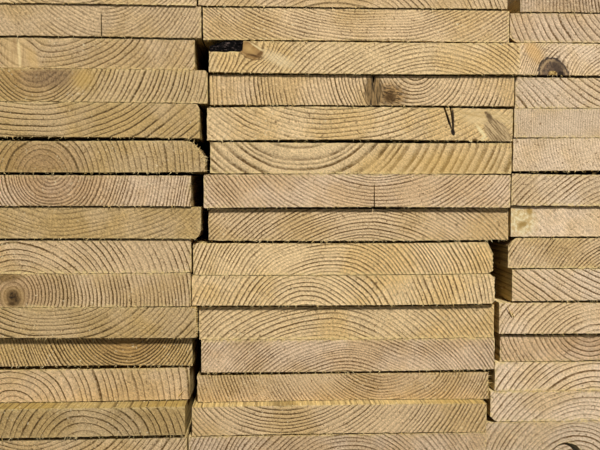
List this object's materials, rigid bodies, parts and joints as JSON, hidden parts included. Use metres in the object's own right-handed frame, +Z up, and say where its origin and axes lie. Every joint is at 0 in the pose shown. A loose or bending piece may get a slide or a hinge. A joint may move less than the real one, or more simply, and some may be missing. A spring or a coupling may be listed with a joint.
{
  "type": "stack of lumber",
  "caption": "Close-piled stack of rough sawn softwood boards, laid flat on each other with their cut ends in line; stock for building work",
  "frame": {"origin": "middle of the stack's footprint on the floor", "axes": "+Z up, boards run along Y with the shown ends at -Y, columns side by side along X"},
  "size_m": [0.5948, 2.4618, 0.3047],
  "materials": {
    "tan_wood": "rough sawn",
    "olive_wood": "rough sawn",
    "pink_wood": "rough sawn",
    "yellow_wood": "rough sawn",
    "pale_wood": "rough sawn"
  },
  "bodies": {
    "root": {"board_left_01": "tan_wood", "board_left_02": "olive_wood", "board_left_03": "pink_wood", "board_left_04": "olive_wood", "board_left_05": "tan_wood", "board_left_06": "tan_wood", "board_left_07": "pink_wood", "board_left_08": "olive_wood", "board_left_09": "pink_wood", "board_left_10": "olive_wood", "board_left_11": "tan_wood", "board_left_12": "olive_wood", "board_left_13": "pale_wood", "board_left_14": "pink_wood", "board_left_15": "tan_wood", "board_middle_01": "pink_wood", "board_middle_02": "tan_wood", "board_middle_03": "yellow_wood", "board_middle_04": "pink_wood", "board_middle_05": "yellow_wood", "board_middle_06": "pale_wood", "board_middle_07": "yellow_wood", "board_middle_08": "tan_wood", "board_middle_09": "pink_wood", "board_middle_10": "yellow_wood", "board_middle_11": "yellow_wood", "board_middle_12": "yellow_wood", "board_middle_13": "pale_wood", "board_middle_14": "pale_wood", "board_middle_15": "tan_wood", "board_right_01": "tan_wood", "board_right_02": "pink_wood", "board_right_03": "pale_wood", "board_right_04": "tan_wood", "board_right_05": "pink_wood", "board_right_06": "pale_wood", "board_right_07": "tan_wood", "board_right_08": "pale_wood", "board_right_09": "pale_wood", "board_right_10": "pink_wood", "board_right_11": "pale_wood", "board_right_12": "pale_wood", "board_right_13": "pale_wood", "board_right_14": "pink_wood", "board_right_15": "pale_wood"}
  },
  "joints": []
}
